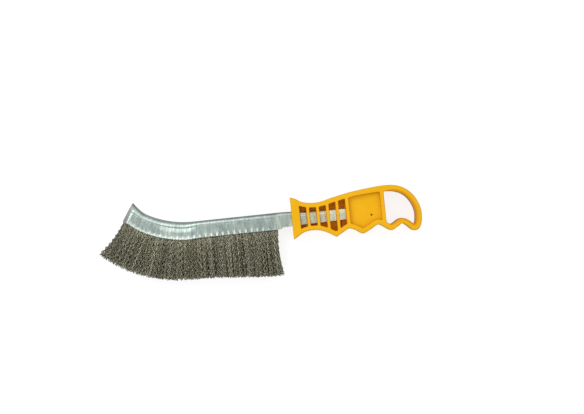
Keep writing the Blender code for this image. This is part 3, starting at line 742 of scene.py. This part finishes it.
def brush_steel():
    """Oil-tempered wire with a brownish cast here and there, and painted glints and painted shade along it.
    """
    finish, shader, add, join = new_finish("brush_wire", roughness=0.36, metallic=1.0)
    place = add("ShaderNodeTexCoord").outputs["Object"]
    patches = add("ShaderNodeTexNoise", Scale=CAST_SCALE, Detail=2.0)
    join(place, patches.inputs["Vector"])
    cast = add_ramp(add, CAST_TONES)
    join(patches.outputs["Fac"], cast.inputs["Fac"])
    on_wire = add("ShaderNodeAttribute", attribute_name="place_on_wire").outputs["Vector"]
    tone = add("ShaderNodeSeparateXYZ")
    join(on_wire, tone.inputs["Vector"])
    lengthwise = add("ShaderNodeMapping")
    lengthwise.inputs["Scale"].default_value = GLINT_AND_SHADE_SCALE
    glints_and_shade = add("ShaderNodeTexNoise", Scale=1.0, Detail=2.0, Roughness=0.7)
    join(on_wire, lengthwise.inputs["Vector"])
    join(lengthwise.outputs["Vector"], glints_and_shade.inputs["Vector"])
    tones_and_painted_light = add("ShaderNodeMix", data_type="FLOAT")
    tones_and_painted_light.inputs["Factor"].default_value = GLINT_AND_SHADE_SHARE
    join(tone.outputs["Y"], tones_and_painted_light.inputs["A"])
    join(glints_and_shade.outputs["Fac"], tones_and_painted_light.inputs["B"])
    shade = add_ramp(add, GLINT_AND_SHADE_TONES)
    join(tones_and_painted_light.outputs["Result"], shade.inputs["Fac"])
    join(multiplied(add, join, cast.outputs["Color"], shade.outputs["Color"]), shader.inputs["Base Color"])
    mill_scale = add("ShaderNodeTexNoise", Scale=MILL_SCALE_SIZE, Detail=2.0)
    join(place, mill_scale.inputs["Vector"])
    dullness = add_range(add, NOISE_SPAN, WIRE_ROUGHNESS)
    join(mill_scale.outputs["Fac"], dullness.inputs["Value"])
    join(dullness.outputs["Result"], shader.inputs["Roughness"])
    return finish


wire_finish = brush_steel()
draw = random.Random(DRAW_SEED)
bundle_pitch = (FIELD_END - FIELD_START) / BUNDLE_COUNT
for number in range(1, BUNDLE_COUNT + 1):
    corners, faces, tones, made = [], [], [], 0
    for place in range(LOCKS_IN_BUNDLE):
        for radius in LAYER_RADII:
            middle = FIELD_START + (number - 1 + (place + draw.random()) / LOCKS_IN_BUNDLE) * bundle_pitch
            lock = draw_lock(draw)
            for member in range(WIRES_IN_LOCK):
                run = middle + (member - (WIRES_IN_LOCK - 1) / 2) * LOCK_SPACING
                run = min(max(run, FIELD_START), FIELD_END)
                fold = radius + draw.uniform(-LAYER_SPREAD, LAYER_SPREAD)
                points, onward = wire_line(run, fold, lock, draw)
                corners.append(wire_skin(points, onward).reshape(-1, 3))
                faces.append(wire_faces(made, len(points)))
                own, count = draw.random(), len(points)
                shared = np.where(np.arange(count) > count / 2, lock[1]["tone"], lock[0]["tone"])
                shades = LOCK_TONE_SHARE * shared + (1 - LOCK_TONE_SHARE) * own
                lengths = np.linspace(0, count * CRIMP_LENGTH / CRIMP_SAMPLES, count)
                looks = np.stack((np.full(count, own), shades, lengths), axis=1)
                tones.append(np.repeat(looks, WIRE_SIDES, axis=0))
                made += len(corners[-1])
    data = bpy.data.meshes.new(f"folded_wires_{number:02d}")
    data.from_pydata(np.concatenate(corners), [], np.concatenate(faces))
    wire_attribute = data.attributes.new("place_on_wire", "FLOAT_VECTOR", "POINT")
    wire_attribute.data.foreach_set("vector", np.concatenate(tones).ravel())
    data.materials.append(wire_finish)
    data.shade_smooth()
    wires = bpy.data.objects.new(data.name, data)
    bpy.context.scene.collection.objects.link(wires)
    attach(wires, "root")
    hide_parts(f"wire_bundle_{number:02d}")

# Handle. One injection moulding in glossy plastic, pushed tight over the tang. A full-depth rim follows the
# hand, ribs cross it over the tang, a thin web closes the cells at half depth, and the open end hangs it up.
HANDLE_LENGTH = 106.8 * MM
HANDLE_THICKNESS = 18.0 * MM
KNUCKLE_DROP = 19.4 * MM
EDGE_ROUND = 1.5 * MM
LOOP_ROUND = 2.3 * MM
CELL_ROUND = 0.35 * MM
FLOOR_ROUND = 0.5 * MM
FRONT_RIM = 3.6 * MM
BACK_RIM = 4.6 * MM
CROWN_RIM_EXTRA = 0.7 * MM
CROWN_RIM_SHARES = (0.78, 0.25)
DRAFT = 0.2 * MM
WEB_THICKNESS = 2.4 * MM
GUARD_WALL = 6.8 * MM
WINDOW_COUNT = 5
WINDOW_WIDTH = 5.7 * MM
RIB_WIDTH = 2.4 * MM
SOCKET_WALL = 2.9 * MM
POCKET_LENGTH = 26.2 * MM
POCKET_DEPTH = 3.0 * MM
LOOP_BAR = 3.3 * MM
PIN_MARK_RADIUS = 0.9 * MM
PIN_MARK_DEPTH = 1.6 * MM
PIN_MARK_SIDES = 20
PIN_MARK_SHARES = (0.68, -0.14)
PARTING_RIDGE = 0.07 * MM
PARTING_WIDTH = 0.14 * MM
CELL_STEP = 0.35 * MM
LOOP_RIB_SHARE = 0.3
LOOP_EASE = 10.0 * MM
# Shares of painted shade on the loop's inner round and on the pocket's walls.
LOOP_SHADE_MARK = 0.5
POCKET_SHADE_MARK = 0.6
CORNER_PASSES = 5
LOOP_PASSES = 20
EDGE_STEPS = 9
ROUND_STEPS = 6
SAME_POINT = 0.03 * MM
CLEAR_SHARE = 0.9999
PIGMENT_TONES = ((0.3, (0.74, 0.385, 0.004)), (0.7, (0.79, 0.415, 0.007)))
# Painted shade: the tint that darkens and reddens the plastic in the cells.
CELL_SHADE_TINT = (0.86, 0.62, 0.3, 1.0)
PLASTIC_SPECULAR = 0.12
PLASTIC_ROUGHNESS = (0.36, 0.5)
SWIRL_SCALE = 45.0
SKIN_SCALE = 900.0
SKIN_RELIEF = 0.05 * MM
SKIN_STRENGTH = 0.08
TOP_EDGE_SHARES = (
    (0.000, 0.903), (0.041, 0.817), (0.089, 0.665), (0.164, 0.588), (0.239, 0.605), (0.321, 0.712),
    (0.458, 0.857), (0.590, 0.944), (0.727, 1.000), (0.826, 0.948), (0.908, 0.729), (0.968, 0.340),
)
END_EDGE_SHARES = ((0.998, -0.127), (0.996, -0.586), (0.975, -0.891))
GRIP_EDGE_SHARES = (
    (0.939, -1.000), (0.911, -0.926), (0.880, -0.754), (0.845, -0.640), (0.807, -0.756),
    (0.755, -0.885), (0.708, -0.730), (0.658, -0.592), (0.605, -0.737), (0.545, -0.897),
    (0.516, -0.862), (0.487, -0.748), (0.433, -0.635), (0.384, -0.763),
)
FIRST_GROOVE_SHARES = (
    (0.330, -0.930), (0.264, -0.712), (0.206, -0.582), (0.145, -0.547), (0.084, -0.599),
    (0.035, -0.751), (0.000, -0.866),
)
SOCKET_START = GUARD_WALL + WINDOW_COUNT * (WINDOW_WIDTH + RIB_WIDTH) - RIB_WIDTH
POCKET_START = SOCKET_START + SOCKET_WALL
LOOP_START = POCKET_START + POCKET_LENGTH + LOOP_BAR


def smooth_run(points, steps):
    """A cubic spline through points in the brush's plane, with steps straight pieces between each two."""
    ends = [2 * points[0] - points[1], *points, 2 * points[-1] - points[-2]]
    found = []
    for before, start, stop, after in zip(ends, ends[1:], ends[2:], ends[3:]):
        for step in range(steps):
            t = step / steps
            found.append(
                0.5
                * (
                    2 * start
                    + (stop - before) * t
                    + (2 * before - 5 * start + 4 * stop - after) * t * t
                    + (3 * start - before - 3 * stop + after) * t * t * t
                )
            )
    return found + [points[-1]]


def sideways(points, index):
    """From a corner of a closed outline to the same corner of one that lies a unit to its left."""
    arrival = (points[index] - points[index - 1]).normalized()
    departure = (points[(index + 1) % len(points)] - points[index]).normalized()
    run = arrival + departure
    return Vector((-run.y, run.x)) / (1 + arrival.dot(departure))


def shifted(points, distance):
    """A closed outline, moved to its left."""
    return [point + sideways(points, index) * distance for index, point in enumerate(points)]


def unevenly_shifted(points, distance, shares):
    """The same, but each corner goes only its own share of the way."""
    return [point + sideways(points, index) * distance * shares[index] for index, point in enumerate(points)]


def distance_to(point, points):
    """From point to the nearest place on a closed outline."""
    nearest = math.inf
    for start, stop in zip(points, points[1:] + points[:1]):
        run = stop - start
        share = min(max((point - start).dot(run) / run.length_squared, 0.0), 1.0)
        nearest = min(nearest, (point - start - run * share).length)
    return nearest


def drawn_in(points, walls):
    """Each corner of a clockwise outline, moved in by its wall. Those that would cross meet at one point."""
    moved = [point - sideways(points, index) * wall for index, (point, wall) in enumerate(zip(points, walls))]
    clear = [distance_to(point, points) > wall * CLEAR_SHARE for point, wall in zip(moved, walls)]
    found = list(moved)
    size = len(moved)
    for first in range(size):
        if clear[first] or not clear[first - 1]:
            continue
        after = first
        while not clear[after % size]:
            after += 1
        meeting = None
        if after > first + 1:
            meeting = intersect_line_line_2d(
                moved[first - 1], moved[first], moved[(after - 1) % size], moved[after % size]
            )
        for index in range(first, after):
            found[index % size] = meeting or moved[first - 1]
    return found


def distinct(points):
    """A closed outline without the points that lie on the one before them."""
    return [point for index, point in enumerate(points) if (point - points[index - 1]).length > SAME_POINT]


def clipped(outline, start, stop):
    """The stretch of an outline between two places along the handle, as a closed outline of its own."""
    sheet = bmesh.new()
    sheet.faces.new([sheet.verts.new((x, y, 0)) for x, y in outline])
    for place, side in ((start, -1), (stop, 1)):
        bmesh.ops.bisect_plane(
            sheet,
            geom=sheet.verts[:] + sheet.edges[:] + sheet.faces[:],
            plane_co=(place, 0, 0),
            plane_no=(side, 0, 0),
            clear_outer=True,
        )
    found = [Vector((vert.co.x, vert.co.y)) for vert in sheet.faces[:][0].verts]
    sheet.free()
    return distinct(found)


def softened(outline, step, passes):
    """The outline in even steps, with its corners rounded by averaging each point with its neighbours."""
    lengths = [(b - a).length for a, b in zip(outline, outline[1:] + outline[:1])]
    count = round(sum(lengths) / step)
    places = np.arange(count) * sum(lengths) / count
    marks = np.concatenate(([0.0], np.cumsum(lengths)))
    closed = np.array([*outline, outline[0]])
    points = np.stack([np.interp(places, marks, closed[:, axis]) for axis in (0, 1)], axis=1)
    for _ in range(passes):
        points = points / 2 + (np.roll(points, 1, axis=0) + np.roll(points, -1, axis=0)) / 4
    return [Vector(point) for point in points]


def edge_points(shares):
    """Points of the handle's edge: heights over the axis follow the crown, and those under it the knuckle."""
    return [Vector((x * HANDLE_LENGTH, y * (CROWN_HEIGHT if y > 0 else KNUCKLE_DROP))) for x, y in shares]


def rim_wall(point):
    """The rim's wall, which widens towards the loop and is thickest on the crown."""
    share = point.x / HANDLE_LENGTH
    crown, reach = CROWN_RIM_SHARES
    extra = between(0, CROWN_RIM_EXTRA, 1 - abs(share - crown) / reach) if point.y > 0 else 0
    return straight(FRONT_RIM, BACK_RIM, share) + extra


def quarter_round(radius):
    """Steps round an edge, as how far each is in from the side and below the face."""
    turns = [math.pi / 2 * step / ROUND_STEPS for step in range(ROUND_STEPS + 1)]
    return [(radius * (1 - math.cos(turn)), radius * (1 - math.sin(turn))) for turn in turns]


def add_wall(mesh, rings):
    """A skin over closed rings of equally many corners, open at both ends. Gives back its corners by ring."""
    made = [[mesh.verts.new(BRUSH_ZERO + Vector((x, y, z))) for x, y in points] for points, z in rings]
    size = len(made[0])
    for ring, following in zip(made, made[1:]):
        for index in range(size):
            onward = (index + 1) % size
            mesh.faces.new((ring[index], ring[onward], following[onward], following[index]))
    return made


def mark_painted_shade(mesh, rings, share):
    """Marks corners for painted shade: the plastic there is painted darker and redder, as shade in a cell."""
    marks = mesh.verts.layers.float["painted_cell_shade"]
    for ring in rings:
        for vert in ring:
            vert[marks] = share


face_level = HANDLE_THICKNESS / 2
edge_shares = TOP_EDGE_SHARES + END_EDGE_SHARES + GRIP_EDGE_SHARES + FIRST_GROOVE_SHARES[:1]
outline = smooth_run(edge_points(edge_shares), EDGE_STEPS)
outline += smooth_run(edge_points(FIRST_GROOVE_SHARES), EDGE_STEPS)[1:]
inside = distinct(drawn_in(outline, [rim_wall(point) for point in outline]))
handle_mesh = bmesh.new()
handle_mesh.verts.layers.float.new("painted_cell_shade")

side_levels = [(inset, face_level - below) for inset, below in reversed(quarter_round(EDGE_ROUND))]
side_levels += [(0.0, PARTING_WIDTH), (-PARTING_RIDGE, 0.0)]
side_levels += [(inset, -z) for inset, z in reversed(side_levels[:-1])]
outer_rings = []
for inset, z in side_levels:
    ring = drawn_in(outline, [inset] * len(outline)) if inset > 0 else shifted(outline, -inset)
    outer_rings.append((ring, z))
add_wall(handle_mesh, outer_rings)

loop = softened(clipped(inside, LOOP_START, HANDLE_LENGTH), CELL_STEP, LOOP_PASSES)
loop_levels = [(grow, face_level - below) for grow, below in reversed(quarter_round(LOOP_ROUND))]
loop_levels += [(grow, -z) for grow, z in reversed(loop_levels)]
loop_shares = [between(LOOP_RIB_SHARE, 1, (point.x - LOOP_START) / LOOP_EASE) for point in loop]
loop_edges = [(unevenly_shifted(loop, grow, loop_shares), z) for grow, z in loop_levels]
mark_painted_shade(handle_mesh, add_wall(handle_mesh, loop_edges)[1:-1], LOOP_SHADE_MARK)

# The windows' walls and floors take the full painted shade, the pocket's walls a share of it.
window_starts = [GUARD_WALL + index * (WINDOW_WIDTH + RIB_WIDTH) for index in range(WINDOW_COUNT)]
spans = [(start, start + WINDOW_WIDTH, WEB_THICKNESS / 2, 1.0, 1.0) for start in window_starts]
pocket_floor = face_level - POCKET_DEPTH
spans.append((POCKET_START, POCKET_START + POCKET_LENGTH, pocket_floor, POCKET_SHADE_MARK, 0.0))
for start, stop, floor_level, wall_shade, floor_shade in spans:
    cell = softened(clipped(inside, start, stop), CELL_STEP, CORNER_PASSES)
    levels = [(inset, face_level - below) for inset, below in reversed(quarter_round(CELL_ROUND))]
    levels += [(-DRAFT - inset, floor_level + below) for inset, below in quarter_round(FLOOR_ROUND)]
    for face in (1, -1):
        rings = add_wall(handle_mesh, [(shifted(cell, grow), z * face) for grow, z in levels])
        mark_painted_shade(handle_mesh, rings[1:-1], wall_shade)
        mark_painted_shade(handle_mesh, rings[-1:], floor_shade)
        if not (face == 1 and start == POCKET_START):
            handle_mesh.faces.new(rings[-1])
pin_turns = [math.tau * index / PIN_MARK_SIDES for index in range(PIN_MARK_SIDES)]
pin_place = Vector((POCKET_START + PIN_MARK_SHARES[0] * POCKET_LENGTH, PIN_MARK_SHARES[1] * CROWN_HEIGHT))
pin_ring = [pin_place + Vector((math.cos(turn), math.sin(turn))) * PIN_MARK_RADIUS for turn in pin_turns]
pin_rings = add_wall(handle_mesh, [(pin_ring, pocket_floor), (pin_ring, pocket_floor - PIN_MARK_DEPTH)])
# The pin mark's floor takes the full painted shade.
mark_painted_shade(handle_mesh, pin_rings[-1:], 1.0)
handle_mesh.faces.new(pin_rings[-1])
bmesh.ops.remove_doubles(handle_mesh, verts=handle_mesh.verts, dist=SAME_POINT)
for level in (face_level, -face_level, pocket_floor):
    plane = BRUSH_ZERO.z + level
    open_edges = [edge for edge in handle_mesh.edges if edge.is_boundary]
    brims = [edge for edge in open_edges if all(abs(vert.co.z - plane) < SAME_POINT for vert in edge.verts)]
    bmesh.ops.triangle_fill(handle_mesh, use_beauty=True, edges=brims, normal=(0, 0, math.copysign(1, level)))


def moulded_plastic():
    """Glossy polypropylene, slightly uneven from the mould, with painted shade inside its cells and its loop.
    """
    finish, shader, add, join = new_finish("moulded_plastic", roughness=0.34, metallic=0.0)
    shader.inputs["Specular IOR Level"].default_value = PLASTIC_SPECULAR
    place = add("ShaderNodeTexCoord").outputs["Object"]
    swirl = add("ShaderNodeTexNoise", Scale=SWIRL_SCALE, Detail=3.0)
    join(place, swirl.inputs["Vector"])
    pigment = add_ramp(add, PIGMENT_TONES)
    join(swirl.outputs["Fac"], pigment.inputs["Fac"])
    marks = add("ShaderNodeAttribute", attribute_name="painted_cell_shade")
    cell_shaded = tinted(add, join, pigment.outputs["Color"], CELL_SHADE_TINT, marks.outputs["Fac"])
    join(cell_shaded, shader.inputs["Base Color"])
    dullness = add_range(add, NOISE_SPAN, PLASTIC_ROUGHNESS)
    join(swirl.outputs["Fac"], dullness.inputs["Value"])
    join(dullness.outputs["Result"], shader.inputs["Roughness"])
    skin = add("ShaderNodeTexNoise", Scale=SKIN_SCALE, Detail=2.0)
    join(place, skin.inputs["Vector"])
    relief = add("ShaderNodeBump", Strength=SKIN_STRENGTH, Distance=SKIN_RELIEF)
    join(skin.outputs["Fac"], relief.inputs["Height"])
    join(relief.outputs["Normal"], shader.inputs["Normal"])
    return finish


handle = add_mesh("moulded_handle", handle_mesh, moulded_plastic())
handle.modifiers.new("even_faces", "WEIGHTED_NORMAL").keep_sharp = True
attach(handle, "root")
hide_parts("handle")

# Floor, lights and camera. The brush is seen from straight above on a white table, in soft light that comes
# from the upper left, so that its shadows fall close below it and to its right. The table itself neither
# lights the brush nor shows in its metal.
TABLE_SIZE = 3.0
TABLE_GREY = (0.25, 0.25, 0.25, 1.0)
TABLE_GLOW = 0.80
WHITE = (1.0, 1.0, 1.0, 1.0)
SKY_ENDS = ((0.0, 0.35), (1.0, 0.28))
SKY_LEVELS = ((0.02, 0.36), (0.3, 0.55), (0.5, 1.1), (0.88, 1.1), (0.95, 0.68), (0.985, 0.36))
SKY_STRENGTH = 1.1
SOFTBOX_PLACE = (-0.55, 0.55, 0.55)
SOFTBOX_SIZE = 0.5
SOFTBOX_POWER = 3.2
CAMERA_PLACE = Vector((1.06, 10.23, 831.0)) * MM
CAMERA_ROLL = math.radians(-5.9)
PICTURE_HALF_WIDTH = 292
FOCAL_PIXELS = 1000
SENSOR_WIDTH = 36.0

floor_mesh = bmesh.new()
bmesh.ops.create_grid(floor_mesh, x_segments=1, y_segments=1, size=TABLE_SIZE / 2)
table_finish, table_shader, _, _ = new_finish("white_table", roughness=0.9, metallic=0.0)
table_shader.inputs["Base Color"].default_value = TABLE_GREY
table_shader.inputs["Emission Color"].default_value = WHITE
table_shader.inputs["Emission Strength"].default_value = TABLE_GLOW
table = add_mesh("white_table", floor_mesh, table_finish)
table.visible_glossy = False
table.visible_diffuse = False

world = bpy.data.worlds.new("studio")
bpy.context.scene.world = world
world.use_nodes = True
sky = world.node_tree.nodes
way = sky.new("ShaderNodeTexCoord").outputs["Generated"]
split = sky.new("ShaderNodeSeparateXYZ")
height_ramp = sky.new("ShaderNodeValToRGB")
for element, (place, level) in zip(height_ramp.color_ramp.elements, SKY_ENDS):
    element.position, element.color = place, (level, level, level, 1.0)
for place, level in SKY_LEVELS:
    height_ramp.color_ramp.elements.new(place).color = (level, level, level, 1.0)
world.node_tree.links.new(way, split.inputs["Vector"])
world.node_tree.links.new(split.outputs["Z"], height_ramp.inputs["Fac"])
world.node_tree.links.new(height_ramp.outputs["Color"], sky["Background"].inputs["Color"])
sky["Background"].inputs["Strength"].default_value = SKY_STRENGTH

softbox = bpy.data.lights.new("key_softbox", "AREA")
softbox.shape = "SQUARE"
softbox.size = SOFTBOX_SIZE
softbox.energy = SOFTBOX_POWER
softbox_stand = bpy.data.objects.new("key_softbox", softbox)
softbox_stand.location = SOFTBOX_PLACE
softbox_stand.rotation_euler = (-Vector(SOFTBOX_PLACE)).to_track_quat("-Z", "Y").to_euler()
bpy.context.scene.collection.objects.link(softbox_stand)

bpy.context.scene.view_settings.view_transform = "Standard"
bpy.context.scene.cycles.use_denoising = False
camera_data = bpy.data.cameras.new("camera")
camera_data.sensor_width = SENSOR_WIDTH
camera_data.angle = 2 * math.atan(PICTURE_HALF_WIDTH / FOCAL_PIXELS)
camera = bpy.data.objects.new("camera", camera_data)
camera.location = BRUSH_ZERO + CAMERA_PLACE
camera.rotation_euler = (0, 0, CAMERA_ROLL)
bpy.context.scene.collection.objects.link(camera)
bpy.context.scene.camera = camera
